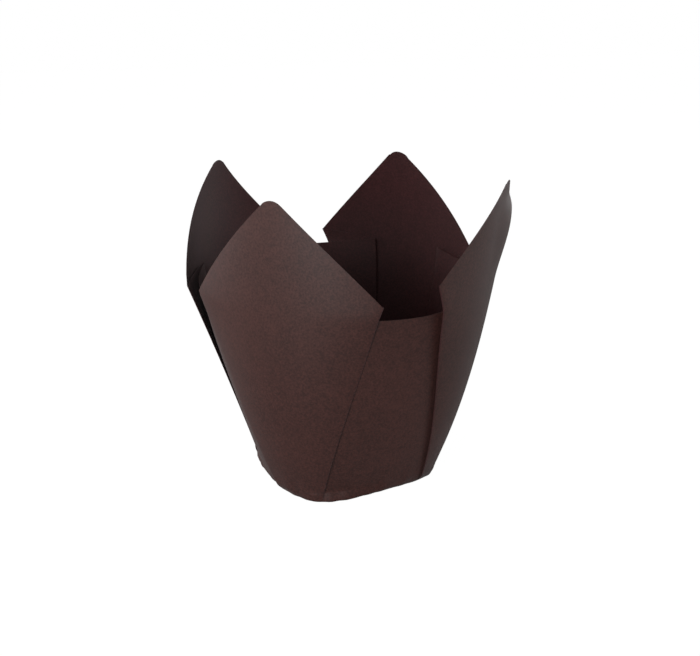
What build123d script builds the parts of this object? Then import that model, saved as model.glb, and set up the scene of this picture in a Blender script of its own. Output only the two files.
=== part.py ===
"""Tulip baking wrap: one square sheet of greaseproof paper, pleated into an open cup.

The middle of the sheet is the base. Its four edges stand up as panels, its four corners
stand up as pointed petals, and a knife pleat joins each panel to each petal: the petal is
outside, the return layer lies behind it, and the panel's end lies inside both. Lengths are
millimetres. The base rests on Z = 0 with its centre at the origin, and the panels face +X,
+Y, -X and -Y.
"""

import os
from dataclasses import dataclass
from math import asin, cos, sin, sqrt

from build123d import *

# Paper
paper = 0.15  # thickness of the sheet
layer_gap = 0.25  # air between two layers of a pleat

# Base
base_width = 50.0  # across the panels
base_corner = 18.0  # radius of the corners under the petals
base_edge_height = 3.0  # height of the pressed edge that the walls stand on
base_edge_fillet = 2.5  # outside, where the edge meets the floor
base_hollow_fillet = 1.6  # the same, inside
foot_inset = 0.1  # the walls stand this far inside the faces of the pressed edge

# Pleats, where they leave the pressed edge
foot_fold_across = 7.0  # from a petal's middle line to its fold
foot_pleat_width = 1.2  # from the petal's fold back to the panel's end

# Mouth, a section at the height of the petals' shoulders
shoulder_height = 59.5  # where the petal's fold meets the edge of the sheet
shoulder_across = 26.0  # from a petal's middle line to its fold
petal_reach = 41.5  # from the mouth's centre to the petal's middle line
petal_curve = 52.0  # radius of the petal's section
panel_end_across = 11.0  # from a petal's middle line to the panel's end behind it
panel_inset = 1.2  # the panel's middle stands this far inside the folds beside it
mouth_shift = 1.0  # the mouth's centre stands this far off the base's centre

# Free edges of the sheet
panel_drop = 3.0  # from the shoulders down to a panel's edge at its middle
panel_end_drop = 1.0  # the same, at its ends
tip_rise = 30.0  # from the shoulders up to where a petal's two edges would meet
tip_lean = -0.5  # the petal's middle line goes this much further out by then
tip_curve = 44.0  # radius of the petal's section there
tip_shift = 3.0  # the tips' centre stands this far off the base's centre
tip_radius = 4.0  # rounding of the sheet's corners
shift_angle = -45.0  # the mouth and the tips are off centre towards this petal

# Worked out from the sizes above
layer_step = paper + layer_gap  # from one layer of a pleat to the next
crease_radius = layer_step / 2  # of a fold, at the middle of the paper
base_edge_wall = 2 * layer_step + paper + 2 * foot_inset  # three layers pressed together
shoulder_along = petal_reach - petal_curve + sqrt(petal_curve**2 - shoulder_across**2)
shoulder_reach = (shoulder_along + shoulder_across) / sqrt(2)  # of a fold, square to the panel
tip_height = shoulder_height + tip_rise
mouth_offset = Vector(mouth_shift, 0).rotate(Axis.Z, shift_angle)
tip_offset = Vector(tip_shift, 0).rotate(Axis.Z, shift_angle)
clear = 2 * petal_reach + tip_rise  # longer than anything that a cutter has to pass

PANELS = (0.0, 90.0, 180.0, 270.0)
PETALS = (45.0, 135.0, 225.0, 315.0)


@dataclass
class PetalSection:
    """Horizontal section of the four petals, each an arc of paper between two folds."""

    height: float
    petal_reach: float
    radius: float
    fold_across: float
    offset: Vector

    @property
    def fold_angle(self) -> float:
        """Angle of a fold about the centre of the petal's arc, in radians."""
        return asin(self.fold_across / self.radius)

    def point(self, petal: float, radius: float, angle: float, around: float = 0.0) -> Vector:
        """Point at a radius and an angle of the petal's arc, moved a length around it."""
        along = self.petal_reach - self.radius + radius * cos(angle) - around * sin(angle)
        across = radius * sin(angle) + around * cos(angle)
        return Vector(along, across).rotate(Axis.Z, petal) + self.offset


@dataclass
class WallSection(PetalSection):
    """Horizontal section of the whole pleated wall: petals, return layers and panels."""

    panel_end_across: float
    panel_reach: float  # from the centre to the panel's middle line

    @property
    def panel_end_angle(self) -> float:
        """Angle of a panel's end about the centre of the petal's arc, in radians."""
        return asin(self.panel_end_across / self.radius)

    @property
    def panel_end(self) -> Vector:
        """End of a panel, in the panel's own frame: X is outwards and Y across."""
        return self.point(45, self.radius - 2 * layer_step, -self.panel_end_angle) - self.offset


foot_radius = base_corner - foot_inset - paper / 2
foot = WallSection(
    height=base_edge_height,
    petal_reach=sqrt(2) * (base_width / 2 - base_corner) + foot_radius,
    radius=foot_radius,
    fold_across=foot_fold_across,
    offset=Vector(0, 0),
    panel_end_across=foot_fold_across - foot_pleat_width,
    panel_reach=(base_width - base_edge_wall) / 2,
)
mouth = WallSection(
    height=shoulder_height,
    petal_reach=petal_reach,
    radius=petal_curve,
    fold_across=shoulder_across,
    offset=mouth_offset,
    panel_end_across=panel_end_across,
    panel_reach=shoulder_reach - panel_inset,
)
tip = PetalSection(
    height=tip_height,
    petal_reach=petal_reach + tip_lean,
    radius=tip_curve,
    fold_across=shoulder_across,
    offset=tip_offset,
)


def upright(angle: float) -> Plane:
    """Plane through the mouth's centre that faces outwards at an angle, with Y upwards."""
    outward = Vector(1, 0).rotate(Axis.Z, angle)
    return Plane(origin=mouth_offset, x_dir=outward.rotate(Axis.Z, 90), z_dir=outward)


def pleated_face(level: WallSection, side: int) -> Sketch:
    """Area inside one face of the pleated wall: side 1 is the outer face, -1 the inner."""
    skin = side * paper / 2
    petal_radius = level.radius + skin
    return_radius = level.radius - layer_step - skin
    panel_radius = level.radius - 2 * layer_step + skin
    fold_middle = level.radius - layer_step / 2
    end_middle = level.radius - 3 * layer_step / 2
    with BuildSketch(Plane.XY.offset(level.height)) as face:
        with BuildLine():
            for petal in PETALS:
                for hand in (-1, 1):
                    fold = hand * level.fold_angle
                    end = hand * level.panel_end_angle
                    bulge = hand * (crease_radius + skin)
                    petal_edge = level.point(petal, petal_radius, fold)
                    return_edge = level.point(petal, return_radius, fold)
                    return_end = level.point(petal, return_radius, end)
                    panel_end = level.point(petal, panel_radius, end)
                    ThreePointArc(petal_edge, level.point(petal, fold_middle, fold, bulge), return_edge)
                    ThreePointArc(return_edge, level.point(petal, return_radius, (fold + end) / 2), return_end)
                    bulge = hand * (skin - crease_radius)
                    ThreePointArc(return_end, level.point(petal, end_middle, end, bulge), panel_end)
                first_edge = level.point(petal, petal_radius, -level.fold_angle)
                ThreePointArc(first_edge, level.point(petal, petal_radius, 0), petal_edge)
                panel_middle = Vector(level.panel_reach + skin, 0).rotate(Axis.Z, petal + 45) + level.offset
                next_end = level.point(petal + 90, panel_radius, -level.panel_end_angle)
                ThreePointArc(panel_end, panel_middle, next_end)
        make_face()
    return face.sketch


def gap_face(level: WallSection, layers: float) -> Sketch:
    """Area inside a ring that runs behind the petals, a number of layer steps in."""
    radius = level.radius - layers * layer_step
    with BuildSketch(Plane.XY.offset(level.height)) as face:
        with BuildLine():
            for petal in PETALS:
                first = level.point(petal, radius, -level.fold_angle)
                last = level.point(petal, radius, level.fold_angle)
                ThreePointArc(first, level.point(petal, radius, 0), last)
                Line(last, level.point(petal + 90, radius, -level.fold_angle))
        make_face()
    return face.sketch


def petal_band(level: PetalSection, petal: float) -> Sketch:
    """Section of one petal, as thick as the paper."""
    with BuildSketch(Plane.XY.offset(level.height)) as band:
        with BuildLine():
            faces = []
            for radius in (level.radius + paper / 2, level.radius - paper / 2):
                first = level.point(petal, radius, -level.fold_angle)
                last = level.point(petal, radius, level.fold_angle)
                faces.append(ThreePointArc(first, level.point(petal, radius, 0), last))
            Line(faces[0] @ 0, faces[1] @ 0)
            Line(faces[0] @ 1, faces[1] @ 1)
        make_face()
    return band.sketch


# Pressed base: a thin floor inside a rounded edge of three layers
with BuildPart() as base_hollow:
    with BuildSketch(Plane.XY.offset(paper)):
        hollow_width = base_width - 2 * base_edge_wall
        RectangleRounded(hollow_width, hollow_width, base_corner - base_edge_wall)
    extrude(amount=base_edge_height)
    fillet(base_hollow.faces().sort_by(Axis.Z)[0].edges(), base_hollow_fillet)

with BuildPart() as base:
    with BuildSketch():
        RectangleRounded(base_width, base_width, base_corner)
    extrude(amount=base_edge_height)
    fillet(base.faces().sort_by(Axis.Z)[0].edges(), base_edge_fillet)
    add(base_hollow.part, mode=Mode.SUBTRACT)

# Pleated wall, from the pressed edge to the shoulders
with BuildPart() as wall:
    loft([pleated_face(foot, 1), pleated_face(mouth, 1)], ruled=True)
    loft([pleated_face(foot, -1), pleated_face(mouth, -1)], ruled=True, mode=Mode.SUBTRACT)

# Free edges of the panels and of the return layers, cut a quarter at a time
panel_height = shoulder_height - panel_drop
panel_end_height = shoulder_height - panel_end_drop
end_share = (panel_end_height - foot.height) / (mouth.height - foot.height)
end_across = abs(foot.panel_end.Y + (mouth.panel_end.Y - foot.panel_end.Y) * end_share)
fold_across = abs((mouth.point(45, mouth.radius, -mouth.fold_angle) - mouth.offset).Y)
cutter_top = shoulder_height + layer_step
outer_corners = [
    (end_across, panel_end_height),
    (clear, panel_end_height),
    (clear, cutter_top),
    (-clear, cutter_top),
    (-clear, panel_end_height),
    (-end_across, panel_end_height),
]
edge_cutters = []
for panel in PANELS:
    with BuildPart() as panel_cutter:
        loft([gap_face(foot, 1.5), gap_face(mouth, 1.5)], ruled=True)
        with BuildSketch(upright(panel)):
            with BuildLine():
                ThreePointArc(outer_corners[-1], (0, panel_height), outer_corners[0])
                Polyline(*outer_corners)
            make_face()
        extrude(amount=clear, mode=Mode.INTERSECT)
    with BuildPart() as return_cutter:
        loft([gap_face(foot, 0.5), gap_face(mouth, 0.5)], ruled=True)
        with BuildSketch(upright(panel)):
            with BuildLine():
                shoulders = [(-fold_across, shoulder_height), (fold_across, shoulder_height)]
                Polyline(*shoulders, *outer_corners, close=True)
            make_face()
        extrude(amount=clear, mode=Mode.INTERSECT)
    with BuildPart() as quarter_cutter:
        with BuildSketch(Plane(origin=mouth_offset)):
            with Locations(Rotation(0, 0, panel)):
                Polygon((0, 0), (clear, -clear), (clear, clear), align=None)
        extrude(amount=cutter_top)
        add(panel_cutter.part + return_cutter.part, mode=Mode.INTERSECT)
    edge_cutters.append(quarter_cutter.part)

# Petals above their shoulders
petal_tips = []
for petal in PETALS:
    with BuildPart() as petal_tip:
        loft([petal_band(mouth, petal), petal_band(tip, petal)], ruled=True)
        with BuildSketch(upright(petal)) as outline:
            half_width = shoulder_across + crease_radius + paper / 2
            corners = ((half_width, shoulder_height), (0, tip_height), (-half_width, shoulder_height))
            Polygon(*corners, align=None)
            fillet(outline.vertices().sort_by(Axis.Y)[-1], tip_radius)
        extrude(amount=clear, mode=Mode.INTERSECT)
    petal_tips.append(petal_tip.part)

# The folded sheet
with BuildPart() as liner:
    add(wall.part)
    for cutter in edge_cutters:
        add(cutter, mode=Mode.SUBTRACT)
    add(base.part)
    for petal_tip_part in petal_tips:
        add(petal_tip_part)

liner.part.label = "folded_paper"
os.makedirs("parts", exist_ok=True)
export_step(liner.part, "parts/folded_paper.step")
print("solids", len(liner.part.solids()), "volume", round(liner.part.volume, 1), "valid", liner.part.is_valid)
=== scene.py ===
"""Looks of the tulip baking wrap: one square sheet of dark brown greaseproof paper, folded.

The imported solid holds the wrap's size and place. Here the same sheet is modelled as thin
paper: four pointed petals, eight knife pleats, four lower panels and a pressed base, all on
one continuous surface. Shapes are worked out in millimetres about the centre of the base,
with Z up from the surface that it stands on, and turned to metres at the end.
"""

import logging
from dataclasses import dataclass, field
from enum import Enum
from math import atan, cos, pi, radians, sin

import bmesh
import bpy
import numpy as np
from mathutils import Matrix, Vector


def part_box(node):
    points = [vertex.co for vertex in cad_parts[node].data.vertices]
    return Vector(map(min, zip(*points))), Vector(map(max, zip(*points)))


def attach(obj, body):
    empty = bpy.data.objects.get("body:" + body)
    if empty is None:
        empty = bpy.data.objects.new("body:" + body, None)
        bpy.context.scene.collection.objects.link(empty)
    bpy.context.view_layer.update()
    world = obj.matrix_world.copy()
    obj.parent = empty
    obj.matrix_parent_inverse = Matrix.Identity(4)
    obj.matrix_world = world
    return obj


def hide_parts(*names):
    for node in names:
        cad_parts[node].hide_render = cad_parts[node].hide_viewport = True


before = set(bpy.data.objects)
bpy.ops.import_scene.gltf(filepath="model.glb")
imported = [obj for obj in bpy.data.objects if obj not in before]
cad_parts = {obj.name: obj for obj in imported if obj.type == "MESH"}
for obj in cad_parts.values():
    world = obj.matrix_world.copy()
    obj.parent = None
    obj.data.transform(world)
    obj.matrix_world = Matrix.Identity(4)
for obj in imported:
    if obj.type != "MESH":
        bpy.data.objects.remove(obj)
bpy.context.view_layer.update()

NODE = "folded_paper"
BODY = "root"
MM = 0.001
MERGE_MM = 0.002  # points that are closer than this become one
FLAT_MM = 0.001  # faces that are narrower than this are dropped
PEAK_TO_ONE = 6.75  # brings the peak of t * t * (1 - t), for t from 0 to 1, to 1
WHITE = (1, 1, 1, 1)

log = logging.getLogger("baking_wrap")


class Hand(Enum):
    """Which way round the cup a petal's side lies from its middle, seen from above."""

    CLOCKWISE = -1
    COUNTER = 1


def linear(hex_colour: str) -> tuple[float, float, float, float]:
    """Turn an sRGB colour into the linear one that a shader takes.

    Args:
        hex_colour: The colour as "#rrggbb".

    Returns:
        Red, green, blue and an alpha of 1.
    """
    channels = [int(hex_colour[start : start + 2], 16) / 255 for start in (1, 3, 5)]
    bent = [c / 12.92 if c <= 0.04045 else ((c + 0.055) / 1.055) ** 2.4 for c in channels]
    return (*bent, 1.0)


def add_node(
    tree: bpy.types.NodeTree,
    kind: str,
    settings: dict[str, object] | None = None,
    inputs: dict[str | int, object] | None = None,
) -> bpy.types.Node:
    """Add one shader node.

    Args:
        tree: The node tree that gets it.
        kind: The node's type name.
        settings: Its own properties.
        inputs: Its sockets: a value to set, or another node's output to link.

    Returns:
        The new node.
    """
    node = tree.nodes.new(kind)
    for name, value in (settings or {}).items():
        setattr(node, name, value)
    for name, value in (inputs or {}).items():
        if isinstance(value, bpy.types.NodeSocket):
            tree.links.new(value, node.inputs[name])
        else:
            node.inputs[name].default_value = value
    return node


def ease(share: np.ndarray) -> np.ndarray:
    """Smooth step from 0 to 1."""
    held = np.clip(share, 0, 1)
    return held * held * (3 - 2 * held)


def through(position: np.ndarray, knots: tuple[float, ...], values: tuple[float, ...]) -> np.ndarray:
    """Smooth curve through a few points, by Lagrange's formula.

    Args:
        position: Where the curve is wanted.
        knots: Positions of the points.
        values: The curve's values there.

    Returns:
        The curve's values at the wanted positions.
    """
    total = np.zeros_like(position, dtype=float)
    for place, value in zip(knots, values):
        term = np.full_like(total, value)
        for other in knots:
            if other != place:
                term = term * (position - other) / (place - other)
        total = total + term
    return total


@dataclass(frozen=True)
class Petal:
    """One corner of the sheet, standing up as a petal. Each was bent a little differently."""

    name: str
    bearing: float  # degrees round the cup, from +X
    turn: float  # degrees that it is skewed from there
    shoulder_reach: float  # from the axis to its middle line, at its shoulders
    tip_reach: float  # the same, near its tip
    tip_above: float  # its two edges meet this far above the top of the solid model
    tilt: float  # its counter-clockwise shoulder is this much higher than the mean
    belly: float = 0.0  # it stands out this much further than the others at belly height
    foot: float = 0.0  # the same, at the foot
    curl: float = 0.0  # its counter-clockwise edge curls outwards this far below the tip
    spring: float = 0.0  # its clockwise pleat springs open this far at the rim
    bows: tuple[float, float] = (1.24, 1.24)  # its two free edges bulge this far, clockwise first


@dataclass(frozen=True)
class Panel:
    """The lower wall between two petals, a stretch of the sheet's straight side."""

    name: str
    bearing: float
    rim_height: float  # of its free edge, at the middle
    bow: float  # the middle of its rim stands this far beyond its ends
    fullness: float = 2.0  # exponent of that bow: above 2 it is flatter in the middle


PETALS = (
    Petal("front", 225, -1.11, 39.39, 39.59, 0.74, 0.95, foot=-0.5),
    Petal("right", 315, 4.82, 43.26, 46.77, 2.32, -6.01, curl=1.6, spring=0.6, bows=(2.2, 1.24)),
    Petal("back", 45, -6.24, 41.91, 36.22, 3.32, 2.6, bows=(0.6, 1.5)),
    Petal("left", 135, -3.5, 41.85, 41.81, 2.23, -2.25, belly=-1.9, foot=-1.2),
)
PANELS = (
    Panel("front_right", 270, 56.6, 6.3, 2.5),
    Panel("back_right", 0, 57.2, 3.2),
    Panel("back_left", 90, 58.0, 6.3),
    Panel("front_left", 180, 57.2, 5.2),
)


@dataclass
class FoldedSheet:
    """The sheet as it stands: a pressed base, pleated walls and petals, on one surface."""

    solid_top: float  # top of the solid model

    # Base
    base_half: float = 23.25  # from the axis to the middle of a side
    base_squareness: float = 4.2  # exponent of its rounded square
    base_twist: float = 12.0  # degrees that its outline was pressed askew, at the most
    base_twist_bearing: float = 285.0  # where it is turned the most
    foot: float = 3.0  # the walls stand on the pressed edge at this height
    edge_round: float = 0.5  # how far the pressed edge turns in before it meets the floor
    floor_dome: float = 0.35  # the middle of the floor stands this far off the surface
    crimp: float = 0.28  # depth of the small crimps round the pressed edge
    crimp_start: float = 0.4  # share of that depth at the foot of the walls
    crimp_fade: float = 5.0  # height over which they die out
    crimp_waves: tuple[tuple[int, float, float], ...] = (  # count round the edge, size, phase
        (17, 0.30, 1.3),
        (29, 0.38, 4.1),
        (43, 0.32, 0.7),
    )
    gather_rate: float = 1.4  # the pleats close up this much faster than the edge goes down

    # Petals
    foot_reach: float = 28.59
    belly_height: float = 30.0
    belly_reach: float = 36.86
    belly_share: float = 0.45  # of a petal's own lean, how much shows at the belly
    mean_shoulder_reach: float = 41.6  # of the four petals
    reach_heights: tuple[float, float] = (58.0, 84.0)  # where a petal's own two reaches are given
    foot_curve: float = 21.05  # radius of a petal's section at the foot
    shoulder_curve: float = 52.91
    tip_curve: float = 45.0
    shoulder: float = 59.68  # mean height of the shoulders
    foot_across: float = 7.41  # from a petal's middle line to its fold
    shoulder_across: float = 27.25
    curl_width: float = 14.0  # a curled edge fades in over this much of the petal's width
    curl_lead: float = 0.4  # share of that which lies before the middle line
    tip_radius: float = 4.0

    # Pleats
    foot_pleat: float = 1.2  # width of a pleat at the foot
    inner_fold_across: float = 11.15  # at the rim, from the petal's middle to the hidden fold
    inner_fold_height: float = 59.59
    tight_crease: float = 0.06  # radius of a fold near the foot
    open_crease: float = 0.12  # the same, at the rim, where the paper springs open
    foot_layer: float = 0.34  # from the petal in to the end of the return layer
    rim_layer: float = 0.95
    foot_bow: float = 1.6  # a panel's middle stands this far beyond its ends, at the foot
    edge_layer: float = 0.35  # depth of the joined layers in the pressed edge
    edge_fold_across: float = 6.8

    paper: float = 0.09  # thickness

    # Mesh
    petal_columns: int = 60
    column_spread: float = 0.4  # gap between the columns under a tip, next to even ones
    bend_columns: int = 3
    return_columns: int = 9
    panel_columns: int = 30
    wall_rows: int = 38
    tip_rows: int = 22
    edge_rows: int = 10
    floor_rings: tuple[float, ...] = (0.9, 0.78, 0.62, 0.44, 0.26, 0.1)  # shares of the edge

    rise: np.ndarray = field(init=False, repr=False)

    def __post_init__(self) -> None:
        """Lay out the rows of the wall, from the foot at 0 to the top at 1."""
        self.rise = np.linspace(0, 1, self.wall_rows + 1)

    def reach(self, petal: Petal, height: np.ndarray) -> np.ndarray:
        """Distance from the axis to a petal's middle line."""
        lean = self.belly_share * (petal.shoulder_reach - self.mean_shoulder_reach)
        knots = (self.foot, self.belly_height, *self.reach_heights)
        foot = self.foot_reach + petal.foot
        belly = self.belly_reach + lean + petal.belly
        values = (foot, belly, petal.shoulder_reach, petal.tip_reach)
        return through(height, knots, values)

    def curled(self, petal: Petal, across: np.ndarray, height: np.ndarray) -> np.ndarray:
        """How far a petal's counter-clockwise edge curls outwards, between shoulder and tip."""
        low, high = self.reach_heights
        climb = np.clip((height - low) / (high - low), 0, 1)
        fade = ease(across / self.curl_width + self.curl_lead)
        return petal.curl * PEAK_TO_ONE * climb**2 * (1 - climb) * fade

    def curve(self, height: np.ndarray) -> np.ndarray:
        """Radius of a petal's section, which opens out as it rises."""
        knots = (self.foot, *self.reach_heights)
        bends = [1 / radius for radius in (self.foot_curve, self.shoulder_curve, self.tip_curve)]
        return 1 / np.interp(height, knots, bends)

    def petal_point(
        self, petal: Petal, across: np.ndarray, height: np.ndarray, inset: np.ndarray | float = 0.0
    ) -> np.ndarray:
        """Point on a petal, or on a layer behind it.

        Args:
            petal: The petal.
            across: Distance from its middle line, counter-clockwise.
            height: Height above the surface it stands on.
            inset: Distance behind its face.

        Returns:
            The points, with X, Y and Z along the last axis.
        """
        across, height, inset = np.broadcast_arrays(across, height, inset)
        radius = self.curve(height)
        along = self.reach(petal, height) - radius + np.sqrt(radius**2 - across**2) - inset
        along = along + self.curled(petal, across, height)
        angle = radians(petal.bearing + petal.turn)
        x = cos(angle) * along - sin(angle) * across
        y = sin(angle) * along + cos(angle) * across
        return np.stack([x, y, height], axis=-1)

    def shoulder_height(self, petal: Petal, share: np.ndarray | float) -> np.ndarray | float:
        """Height of a petal's shoulder line, from -1 at one shoulder to 1 at the other."""
        return self.shoulder + petal.tilt * share

    def fold_across(self, rise: np.ndarray) -> np.ndarray:
        """Distance from a petal's middle line to its fold."""
        return self.foot_across + (self.shoulder_across - self.foot_across) * rise

    def inner_across(self, rise: np.ndarray) -> np.ndarray:
        """Distance from a petal's middle line to the hidden fold behind it."""
        start = self.foot_across - self.foot_pleat
        return start + (self.inner_fold_across - start) * rise

    def crease(self, rise: np.ndarray) -> np.ndarray:
        """Radius of the folds, which spring open towards the rim."""
        return self.tight_crease + (self.open_crease - self.tight_crease) * rise**2

    def layer(self, petal: Petal, hand: Hand) -> np.ndarray:
        """Depth of the return layer at the hidden fold."""
        rim = self.rim_layer + (petal.spring if hand is Hand.CLOCKWISE else 0)
        return self.foot_layer + (rim - self.foot_layer) * self.rise

    def rows(self, top: np.ndarray) -> np.ndarray:
        """Heights of the wall's rows, for columns that end at these heights."""
        return self.foot + (top[:, None] - self.foot) * self.rise[None, :]

    def petal_shares(self) -> np.ndarray:
        """Places of a petal's columns, from -1 to 1, closer together under its tip."""
        even = np.linspace(-1, 1, self.petal_columns + 1)
        return even * (self.column_spread + (1 - self.column_spread) * even**2)

    def petal_wall(self, petal: Petal) -> np.ndarray:
        """Columns of a petal's face, from the foot to the line between its shoulders."""
        share = self.petal_shares()
        height = self.rows(self.shoulder_height(petal, share))
        across = share[:, None] * self.fold_across(self.rise)[None, :]
        return self.petal_point(petal, across, height)

    def edge_height(self, petal: Petal, share: np.ndarray) -> np.ndarray:
        """Height of a petal's free edge above each of its columns.

        Args:
            petal: The petal.
            share: Places of the columns, from -1 to 1.

        Returns:
            The heights: two slightly bowed sides that meet in a rounded tip.
        """
        across = np.abs(share) * self.shoulder_across
        tip = self.solid_top + petal.tip_above
        shoulders = self.shoulder_height(petal, np.sign(share))
        # A side goes straight to its shoulder, pushed out by 4 * bow * along * (1 - along)
        bow = np.where(share < 0, *petal.bows)
        slant = self.shoulder_across + 4 * bow
        along = (slant - np.sqrt(slant**2 - 16 * bow * across)) / (8 * bow)
        side = tip + (shoulders - tip) * along
        # The cap is an arc that touches two sides of mean slope. Where the bows differ, its ends
        # miss the sides a little.
        corner = atan((self.shoulder_across + 2 * sum(petal.bows)) / (tip - self.shoulder))
        centre = tip - self.tip_radius / sin(corner)
        touch = self.tip_radius * cos(corner)
        cap = centre + np.sqrt(np.maximum(self.tip_radius**2 - across**2, 0))
        return np.where(across < touch, cap, side)

    def petal_top(self, petal: Petal) -> np.ndarray:
        """Columns of a petal above its shoulders, up to its free edges."""
        share = self.petal_shares()
        low = self.shoulder_height(petal, share)
        climb = np.linspace(0, 1, self.tip_rows + 1)[1:]
        height = low[:, None] + (self.edge_height(petal, share) - low)[:, None] * climb[None, :]
        return self.petal_point(petal, share[:, None] * self.shoulder_across, height)

    def pleat(self, petal: Petal, hand: Hand) -> np.ndarray:
        """Columns of a pleat, from a petal's fold back to the hidden fold.

        Args:
            petal: The petal that hides the pleat.
            hand: The side of the petal.

        Returns:
            The outer bend, the return layer and the hidden bend.
        """
        side = hand.value
        fold = self.fold_across(self.rise)
        inner = self.inner_across(self.rise)
        crease = self.crease(self.rise)
        depth = self.layer(petal, hand)
        outer_top = self.shoulder_height(petal, side)
        turns = np.linspace(0, pi, self.bend_columns + 2)[1:-1, None]
        bend_rows = self.rows(np.full(self.bend_columns, outer_top))
        outer = self.petal_point(
            petal, side * (fold + crease * np.sin(turns)), bend_rows, crease * (1 - np.cos(turns))
        )
        share = np.linspace(0, 1, self.return_columns + 1)[:, None]
        top = outer_top + (self.inner_fold_height - outer_top) * share[:, 0]
        back = self.petal_point(
            petal,
            side * (fold + (inner - fold) * share),
            self.rows(top),
            2 * crease + (depth - 2 * crease) * share,
        )
        bend_rows = self.rows(np.full(self.bend_columns, self.inner_fold_height))
        hidden = self.petal_point(
            petal, side * (inner - crease * np.sin(turns)), bend_rows, depth + crease * (1 - np.cos(turns))
        )
        return np.concatenate([outer, back, hidden])

    def panel_end(self, petal: Petal, hand: Hand) -> np.ndarray:
        """Column where a panel leaves the hidden fold behind a petal."""
        top = self.rows(np.array([self.inner_fold_height]))[0]
        inset = self.layer(petal, hand) + 2 * self.crease(self.rise)
        return self.petal_point(petal, hand.value * self.inner_across(self.rise), top, inset)

    def panel_wall(self, panel: Panel, start: np.ndarray, end: np.ndarray) -> np.ndarray:
        """Columns of a panel, between the hidden folds of its two petals.

        Args:
            panel: The panel.
            start: Its first column.
            end: Its last column.

        Returns:
            The columns, bowed outwards, with a rim that dips in the middle.
        """
        share = np.linspace(0, 1, self.panel_columns + 1)[:, None]
        middle = 1 - np.abs(2 * share - 1) ** panel.fullness
        outward = np.array([cos(radians(panel.bearing)), sin(radians(panel.bearing))])
        bow = self.foot_bow + (panel.bow - self.foot_bow) * self.rise[None, :]
        flat = start[None, :, :2] * (1 - share)[..., None] + end[None, :, :2] * share[..., None]
        place = flat + (middle * bow)[..., None] * outward
        dip = self.inner_fold_height - panel.rim_height
        height = self.rows((self.inner_fold_height - dip * middle)[:, 0])
        return np.concatenate([place, height[..., None]], axis=-1)

    def edge_outline(self) -> np.ndarray:
        """Line that the columns close up to in the pressed edge, where the pleats end."""
        runs = []
        starts = [self.petal_point(p, -self.edge_fold_across, self.foot, self.edge_layer) for p in PETALS]
        pleat_columns = 2 * self.bend_columns + self.return_columns + 1
        for number, petal in enumerate(PETALS):
            face = self.petal_point(
                petal, self.petal_shares() * self.edge_fold_across, self.foot, self.edge_layer
            )
            end = starts[(number + 1) % len(PETALS)]
            share = np.linspace(0, 1, self.panel_columns + 1)[:, None]
            outward = radians(PANELS[number].bearing)
            bow = self.foot_bow * 4 * share * (1 - share)
            panel = face[-1] * (1 - share) + end * share + bow * np.array([cos(outward), sin(outward), 0])
            runs += [face, np.repeat(face[-1:], pleat_columns, axis=0), panel]
            runs += [np.repeat(end[None], pleat_columns, axis=0)]
        return np.concatenate(runs)[:, :2]

    def twist(self, bearings: np.ndarray) -> np.ndarray:
        """How far the base's outline is turned at these bearings, in radians."""
        share = 0.5 + 0.5 * np.cos(bearings - radians(self.base_twist_bearing))
        return radians(self.base_twist) * share

    def base_outline(self, bearings: np.ndarray) -> np.ndarray:
        """Rounded square that the base was pressed to, at these bearings."""
        turned = bearings - self.twist(bearings)
        x, y, power = np.abs(np.cos(turned)), np.abs(np.sin(turned)), self.base_squareness
        radius = self.base_half / (x**power + y**power) ** (1 / power)
        return np.stack([radius * np.cos(bearings), radius * np.sin(bearings)], axis=-1)

    def outline_normal(self, bearings: np.ndarray) -> np.ndarray:
        """Outward directions of the rounded square, at these bearings."""
        turn, power = self.twist(bearings), self.base_squareness - 1
        x, y = np.cos(bearings - turn), np.sin(bearings - turn)
        east, north = np.sign(x) * np.abs(x) ** power, np.sign(y) * np.abs(y) ** power
        across = east * np.cos(turn) - north * np.sin(turn)
        along = east * np.sin(turn) + north * np.cos(turn)
        normal = np.stack([across, along], axis=-1)
        return normal / np.linalg.norm(normal, axis=-1, keepdims=True)

    def crimps(self, bearings: np.ndarray) -> np.ndarray:
        """Uneven little waves round the pressed edge, from -1 to 1."""
        return sum(size * np.sin(count * bearings + phase) for count, size, phase in self.crimp_waves)

    def columns(self) -> tuple[np.ndarray, list[np.ndarray], list[int]]:
        """Every column of the wall in order round the cup.

        Returns:
            The wall's points, each petal's points above its shoulders, and where each petal's
            first column is.
        """
        wall, tops, first = [], [], []
        count = 0
        for number, petal in enumerate(PETALS):
            following = PETALS[(number + 1) % len(PETALS)]
            near = self.pleat(petal, Hand.COUNTER)
            far = self.pleat(following, Hand.CLOCKWISE)[::-1]
            start = self.panel_end(petal, Hand.COUNTER)
            end = self.panel_end(following, Hand.CLOCKWISE)
            runs = [self.petal_wall(petal), near, self.panel_wall(PANELS[number], start, end), far]
            first.append(count)
            tops.append(self.petal_top(petal))
            wall += runs
            count += sum(len(run) for run in runs)
        return np.concatenate(wall), tops, first

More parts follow.
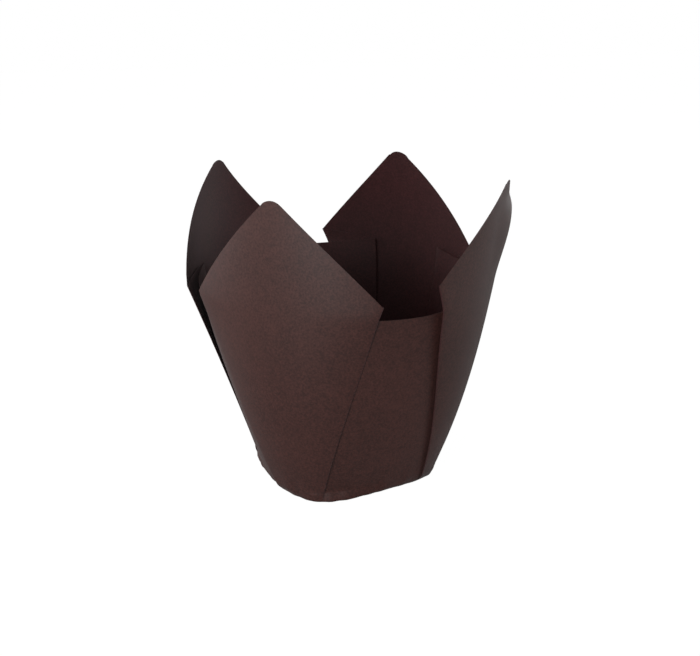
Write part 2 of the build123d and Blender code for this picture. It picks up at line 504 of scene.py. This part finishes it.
    def edge_and_floor(self, foot: np.ndarray) -> np.ndarray:
        """Rings of the pressed edge and of the floor, from the foot inwards.

        Args:
            foot: The wall's lowest row.

        Returns:
            The rings, each with a point for every column of the wall.
        """
        closed = self.edge_outline()
        bearings = np.arctan2(closed[:, 1], closed[:, 0])
        base = self.base_outline(bearings)
        normal = self.outline_normal(bearings)
        waves = self.crimps(bearings)
        rings = []
        for step in np.linspace(0, 1, self.edge_rows + 1)[1:]:
            gather = ease(np.array(step * self.gather_rate))
            line = foot[:, :2] * (1 - gather) + closed * gather
            line = line * (1 - step) + (line + base - closed) * step
            turn = step * pi / 2
            wave = self.crimp * waves * (self.crimp_start + (1 - self.crimp_start) * step)
            ring = line - normal * (self.edge_round * (1 - cos(turn)) - wave[:, None])
            lift = self.crimp * 0.5 * (1 + waves) * sin(pi * step)
            height = self.foot * (1 - sin(turn)) + lift
            rings.append(np.column_stack([ring, height]))
        edge = rings[-1]
        for scale in self.floor_rings:
            height = self.floor_dome * (1 - scale**2) * np.ones(len(edge))
            rings.append(np.column_stack([edge[:, :2] * scale, height]))
        return np.stack(rings, axis=1)

    def crimp_wall(self, wall: np.ndarray) -> np.ndarray:
        """Carry the crimps of the pressed edge a little way up the wall."""
        closed = self.edge_outline()
        bearings = np.arctan2(closed[:, 1], closed[:, 0])
        fade = np.exp(-(((wall[..., 2] - self.foot) / self.crimp_fade) ** 2))
        push = self.crimp_start * self.crimp * self.crimps(bearings)[:, None] * fade
        bent = wall.copy()
        bent[..., :2] += push[..., None] * self.outline_normal(bearings)[:, None, :]
        return bent

    def return_faces_inner_finish_and_painted_shade(self, rows: int) -> np.ndarray:
        """Mark the faces of the return layers, which face into the cup, for the inner face's finish. That
        finish is a little darker than the outer one, so in the clefts of the pleats it is also painted
        shade.

        Args:
            rows: Faces in a column.

        Returns:
            1 for such a face and 0 for another, column by column.
        """
        pleat = 2 * self.bend_columns + self.return_columns + 2
        marks = [0] * self.petal_columns + [1] * pleat + [0] * self.panel_columns + [1] * pleat
        return np.repeat(np.array(marks * len(PETALS)), rows)

    def build(self) -> bpy.types.Object:
        """Make the sheet's mesh.

        Returns:
            The object, at the origin, with the paper's thickness still to come.
        """
        wall, tops, first = self.columns()
        wall = self.crimp_wall(wall)
        rings = self.edge_and_floor(wall[:, 0])
        count, rows = wall.shape[:2]
        points = [wall.reshape(-1, 3), rings.reshape(-1, 3)]
        wall_ids = np.arange(count * rows).reshape(count, rows)
        ring_ids = count * rows + np.arange(count * rings.shape[1]).reshape(count, rings.shape[1])
        sheet_ids = np.concatenate([ring_ids[:, ::-1], wall_ids], axis=1)
        faces = grid_faces(np.concatenate([sheet_ids, sheet_ids[:1]]))
        used = sum(len(block) for block in points)
        for top, start in zip(tops, first):
            top_ids = used + np.arange(top.shape[0] * top.shape[1]).reshape(top.shape[:2])
            shoulder_ids = wall_ids[start : start + len(top), -1:]
            faces += grid_faces(np.concatenate([shoulder_ids, top_ids], axis=1))
            points.append(top.reshape(-1, 3))
            used += top.shape[0] * top.shape[1]
        centre = np.array([[0, 0, self.floor_dome]])
        inner = ring_ids[:, -1]
        faces += [(used, int(b), int(a)) for a, b in zip(inner, np.roll(inner, -1))]
        points.append(centre)
        mesh = bpy.data.meshes.new("tulip_wrap")
        mesh.from_pydata((np.concatenate(points) * MM).tolist(), [], faces)
        # the return layers take the inner finish, whose slightly darker tone is painted shade in the
        # clefts of the pleats
        hidden = self.return_faces_inner_finish_and_painted_shade(sheet_ids.shape[1] - 1)
        mesh.polygons.foreach_set("material_index", np.pad(hidden, (0, len(faces) - len(hidden))))
        return bpy.data.objects.new("tulip_wrap", mesh)


def grid_faces(ids: np.ndarray) -> list[tuple[int, ...]]:
    """Faces between neighbouring columns of vertices, which run counter-clockwise.

    Args:
        ids: Vertex numbers, one row for each column, from the bottom up.

    Returns:
        The faces, turned outwards.
    """
    low, high = ids[:-1], ids[1:]
    corners = np.stack([low[:, :-1], high[:, :-1], high[:, 1:], low[:, 1:]], axis=-1)
    return [tuple(face) for face in corners.reshape(-1, 4).tolist()]


def close_up(piece: bpy.types.Object) -> None:
    """Merge doubled points, drop faces with no area and shade the rest smooth."""
    work = bmesh.new()
    work.from_mesh(piece.data)
    bmesh.ops.remove_doubles(work, verts=work.verts, dist=MERGE_MM * MM)
    bmesh.ops.dissolve_degenerate(work, dist=FLAT_MM * MM, edges=work.edges)
    for face in work.faces:
        face.smooth = True
    work.to_mesh(piece.data)
    work.free()


@dataclass(frozen=True)
class GreaseproofPaper:
    """Pulp-dyed greaseproof baking paper: dense, beaten fibre with a dull face.

    The dye is in the pulp, so a cut edge is as brown as the face, and the fibres show as a fine
    uneven mottle. The dense surface is dull when looked at squarely and turns pale and grey
    where light skims it.
    """

    name: str
    deep: str  # colour of the thicker flocks of fibre
    pale: str  # colour between them
    roughness: float
    specular: float
    sheen: float

    fibre_mm: float = 0.55  # fibre flocks, drawn as coarse as they need to be to show
    flock_mm: float = 3.0
    cloud_mm: float = 22.0  # slow change of tone over the sheet
    relief_mm: float = 0.012
    fibre_share: float = 0.7  # of the three sizes in the mottle
    flock_share: float = 0.14
    cloud_share: float = 0.16
    noise_roughness: float = 0.55
    deep_at: float = 0.39  # the mixed noise below which the paper has its deep colour
    pale_at: float = 0.61  # and above which it has its pale one
    sheen_roughness: float = 0.45

    def make(self) -> bpy.types.Material:
        """Build the material."""
        material = bpy.data.materials.new(self.name)
        material.use_nodes = True
        tree = material.node_tree
        tree.nodes.clear()
        place = add_node(tree, "ShaderNodeTexCoord").outputs["Object"]
        fibre = self.mottle(tree, place, self.fibre_mm, detail=4.0)
        flock = self.mottle(tree, place, self.flock_mm, detail=3.0)
        cloud = self.mottle(tree, place, self.cloud_mm, detail=1.0)
        mixed = 0.0
        for noise, share in (
            (flock, self.flock_share),
            (fibre, self.fibre_share),
            (cloud, self.cloud_share),
        ):
            mixed = add_node(
                tree, "ShaderNodeMath", {"operation": "MULTIPLY_ADD"}, {0: noise, 1: share, 2: mixed}
            ).outputs[0]
        spread = add_node(
            tree,
            "ShaderNodeMapRange",
            {"interpolation_type": "LINEAR"},
            {"Value": mixed, "From Min": self.deep_at, "From Max": self.pale_at},
        ).outputs["Result"]
        colour = add_node(
            tree,
            "ShaderNodeMix",
            {"data_type": "RGBA"},
            {"Factor": spread, "A": linear(self.deep), "B": linear(self.pale)},
        ).outputs["Result"]
        bump = add_node(
            tree,
            "ShaderNodeBump",
            inputs={"Height": fibre, "Distance": self.relief_mm * MM, "Strength": 1.0},
        ).outputs["Normal"]
        face = add_node(
            tree,
            "ShaderNodeBsdfPrincipled",
            inputs={
                "Base Color": colour,
                "Roughness": self.roughness,
                "Specular IOR Level": self.specular,
                "Sheen Weight": self.sheen,
                "Sheen Roughness": self.sheen_roughness,
                "Normal": bump,
            },
        ).outputs["BSDF"]
        add_node(tree, "ShaderNodeOutputMaterial", inputs={"Surface": face})
        return material

    def mottle(
        self, tree: bpy.types.NodeTree, place: bpy.types.NodeSocket, size_mm: float, detail: float
    ) -> bpy.types.NodeSocket:
        """Add soft noise whose blotches are about this many millimetres across."""
        inputs = {
            "Scale": 1 / (size_mm * MM),
            "Detail": detail,
            "Roughness": self.noise_roughness,
            "Vector": place,
        }
        return add_node(tree, "ShaderNodeTexNoise", inputs=inputs).outputs["Fac"]


OUTER_FACE = GreaseproofPaper("dyed_greaseproof_paper_outer_face", "#311713", "#482722", 0.52, 0.45, 0.06)
# The inner finish is a little darker than the outer one. It also covers both sides of the return layers in
# the pleats, where that darker tone is painted shade in the clefts.
INNER_FACE_AND_CLEFT_SHADE = GreaseproofPaper("dyed_greaseproof_paper_inner_face_and_painted_cleft_shade", "#321516", "#442021", 0.58, 0.35, 0.14)


@dataclass
class BakingWrap:
    """The whole wrap: the folded sheet with its two faces."""

    sheet: FoldedSheet
    sharp_above: float = 62.0  # degrees: the paper's cut edges are sharp and its folds are not

    def make(self) -> bpy.types.Object:
        """Build the sheet, give it the paper's thickness and dress it."""
        piece = self.sheet.build()
        bpy.context.scene.collection.objects.link(piece)
        close_up(piece)
        piece.data.materials.append(OUTER_FACE.make())
        piece.data.materials.append(INNER_FACE_AND_CLEFT_SHADE.make())
        thickness = piece.modifiers.new("paper", "SOLIDIFY")
        thickness.thickness = self.sheet.paper * MM
        thickness.offset = 0
        thickness.use_rim = True
        # the second shell takes the inner finish; the return layers keep it on both sides, as painted
        # shade in the clefts of the pleats
        thickness.material_offset = 1
        thickness.material_offset_rim = 0
        evaluated = piece.evaluated_get(bpy.context.evaluated_depsgraph_get())
        solid = bpy.data.meshes.new_from_object(evaluated)
        piece.modifiers.clear()
        solid.set_sharp_from_angle(angle=radians(self.sharp_above))
        piece.data = solid
        return piece


@dataclass(frozen=True)
class Lamp:
    """A soft square lamp that faces the object."""

    name: str
    bearing: float  # degrees round the object, from +X
    elevation: float  # degrees above the floor
    size: float  # length of its side, in metres
    watts: float


LAMPS = (
    Lamp("front_left_lamp", 230, 15, 0.35, 3.4),
    Lamp("left_back_lamp", 150, 10, 0.5, 2.8),
    Lamp("right_back_lamp", 18, 3, 0.4, 1.7),
    Lamp("right_lamp", 335, 8, 0.4, 1.5),
)


@dataclass(frozen=True)
class Studio:
    """A white floor, a white surround that is brighter on one side, and soft lamps."""

    surround: float = 0.85  # strength of the white surround at floor level, on its brighter side
    dim_side: float = 0.12  # and on the other side
    overhead: float = 0.18  # and straight above
    overhead_from: float = 0.8  # Z of a direction from which it is as dim as that
    bright_bearing: float = 175.0  # degrees from +X, towards the brighter side
    floor_colour: str = "#c0c0c0"
    floor_half: float = 1.5  # metres
    floor_glow: float = 1.12  # strength of the light that the camera sees in the floor
    floor_glow_share: float = 0.88  # share of it in what the camera sees
    lamp_distance: float = 0.8  # metres from the centre of the base

    def dress_world(self) -> None:
        """Make the surround plain white to the camera, and uneven as light on the object."""
        world = bpy.data.worlds.new("white_surround")
        bpy.context.scene.world = world
        world.use_nodes = True
        tree = world.node_tree
        tree.nodes.clear()
        eye = add_node(tree, "ShaderNodeLightPath").outputs["Is Camera Ray"]
        toward = add_node(tree, "ShaderNodeTexCoord").outputs["Generated"]
        bright = radians(self.bright_bearing)
        side = add_node(
            tree,
            "ShaderNodeVectorMath",
            {"operation": "DOT_PRODUCT"},
            {0: toward, 1: (cos(bright), sin(bright), 0.0)},
        ).outputs["Value"]
        around = add_node(
            tree,
            "ShaderNodeMapRange",
            inputs={"Value": side, "From Min": -1.0, "To Min": self.dim_side, "To Max": self.surround},
        ).outputs["Result"]
        climb = add_node(tree, "ShaderNodeSeparateXYZ", inputs={"Vector": toward}).outputs["Z"]
        strength = add_node(
            tree,
            "ShaderNodeMapRange",
            {"interpolation_type": "SMOOTHSTEP"},
            {
                "Value": climb,
                "From Min": 0.0,
                "From Max": self.overhead_from,
                "To Min": around,
                "To Max": self.overhead,
            },
        ).outputs["Result"]
        light = add_node(
            tree, "ShaderNodeBackground", inputs={"Color": WHITE, "Strength": strength}
        ).outputs[0]
        seen = add_node(
            tree, "ShaderNodeBackground", inputs={"Color": WHITE, "Strength": 1.0}
        ).outputs[0]
        both = add_node(tree, "ShaderNodeMixShader", inputs={0: eye, 1: light, 2: seen}).outputs[0]
        add_node(tree, "ShaderNodeOutputWorld", inputs={"Surface": both})

    def lay_floor(self, height: float) -> bpy.types.Object:
        """Lay the floor under the base.

        Args:
            height: The lowest point of the solid model, in metres.

        Returns:
            The floor.
        """
        half = self.floor_half
        places = ((-half, -half), (half, -half), (half, half), (-half, half))
        corners = [(x, y, height) for x, y in places]
        mesh = bpy.data.meshes.new("floor")
        mesh.from_pydata(corners, [], [(0, 1, 2, 3)])
        floor = bpy.data.objects.new("floor", mesh)
        bpy.context.scene.collection.objects.link(floor)
        material = bpy.data.materials.new("white_painted_board")
        material.use_nodes = True
        tree = material.node_tree
        tree.nodes.clear()
        eye = add_node(tree, "ShaderNodeLightPath").outputs["Is Camera Ray"]
        board = add_node(
            tree, "ShaderNodeBsdfDiffuse", inputs={"Color": linear(self.floor_colour)}
        ).outputs[0]
        glow = add_node(
            tree, "ShaderNodeEmission", inputs={"Color": WHITE, "Strength": self.floor_glow}
        ).outputs[0]
        lit = add_node(
            tree, "ShaderNodeMixShader", inputs={0: self.floor_glow_share, 1: board, 2: glow}
        ).outputs[0]
        both = add_node(tree, "ShaderNodeMixShader", inputs={0: eye, 1: board, 2: lit}).outputs[0]
        add_node(tree, "ShaderNodeOutputMaterial", inputs={"Surface": both})
        mesh.materials.append(material)
        return floor

    def hang(self, lamp: Lamp) -> None:
        """Hang a lamp.

        Args:
            lamp: Its place, size and power.
        """
        light = bpy.data.lights.new(lamp.name, "AREA")
        light.size = lamp.size
        light.energy = lamp.watts
        turn, climb = radians(lamp.bearing), radians(lamp.elevation)
        away = Vector((cos(turn) * cos(climb), sin(turn) * cos(climb), sin(climb)))
        facing = away.to_track_quat("Z", "Y")
        holder = bpy.data.objects.new(lamp.name, light)
        holder.matrix_world = Matrix.LocRotScale(away * self.lamp_distance, facing, None)
        bpy.context.scene.collection.objects.link(holder)


@dataclass(frozen=True)
class Viewpoint:
    """Where the object is looked at from. Lengths are millimetres."""

    azimuth: float = -20.58  # 0 looks along +Y
    elevation: float = 17.86
    roll: float = -0.11
    distance: float = 315.89
    aim_right: float = 2.57
    aim_height: float = 42.38
    lens: float = 55.93
    sensor: float = 36.0

    def make(self) -> bpy.types.Object:
        """Build the camera and make it the scene's own."""
        turn, climb, roll = radians(self.azimuth), radians(self.elevation), radians(self.roll)
        back = Vector((sin(turn) * cos(climb), -cos(turn) * cos(climb), sin(climb)))
        right = Vector((cos(turn), sin(turn), 0))
        up = back.cross(right)
        aim = right * self.aim_right + Vector((0, 0, self.aim_height))
        across = right * cos(roll) + up * sin(roll)
        above = up * cos(roll) - right * sin(roll)
        lens = bpy.data.cameras.new("camera")
        lens.sensor_width = self.sensor
        lens.lens = self.lens
        lens.clip_start = 0.01
        camera = bpy.data.objects.new("camera", lens)
        facing = Matrix((across, above, back)).transposed().to_4x4()
        camera.matrix_world = Matrix.Translation((aim + back * self.distance) * MM) @ facing
        bpy.context.scene.collection.objects.link(camera)
        bpy.context.scene.camera = camera
        return camera


def main() -> None:
    logging.basicConfig(level=logging.INFO)
    bpy.context.scene.view_settings.view_transform = "Standard"
    low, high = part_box(NODE)

    wrap = BakingWrap(FoldedSheet(solid_top=high.z / MM)).make()
    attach(wrap, BODY)
    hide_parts(NODE)
    triangles = sum(len(face.vertices) - 2 for face in wrap.data.polygons)
    log.info("%s: %d triangles", wrap.name, triangles)

    studio = Studio()
    studio.dress_world()
    studio.lay_floor(low.z)
    for lamp in LAMPS:
        studio.hang(lamp)
    log.info("stage: floor and %d lamps", len(LAMPS))

    Viewpoint().make()


if __name__ == "__main__":
    main()
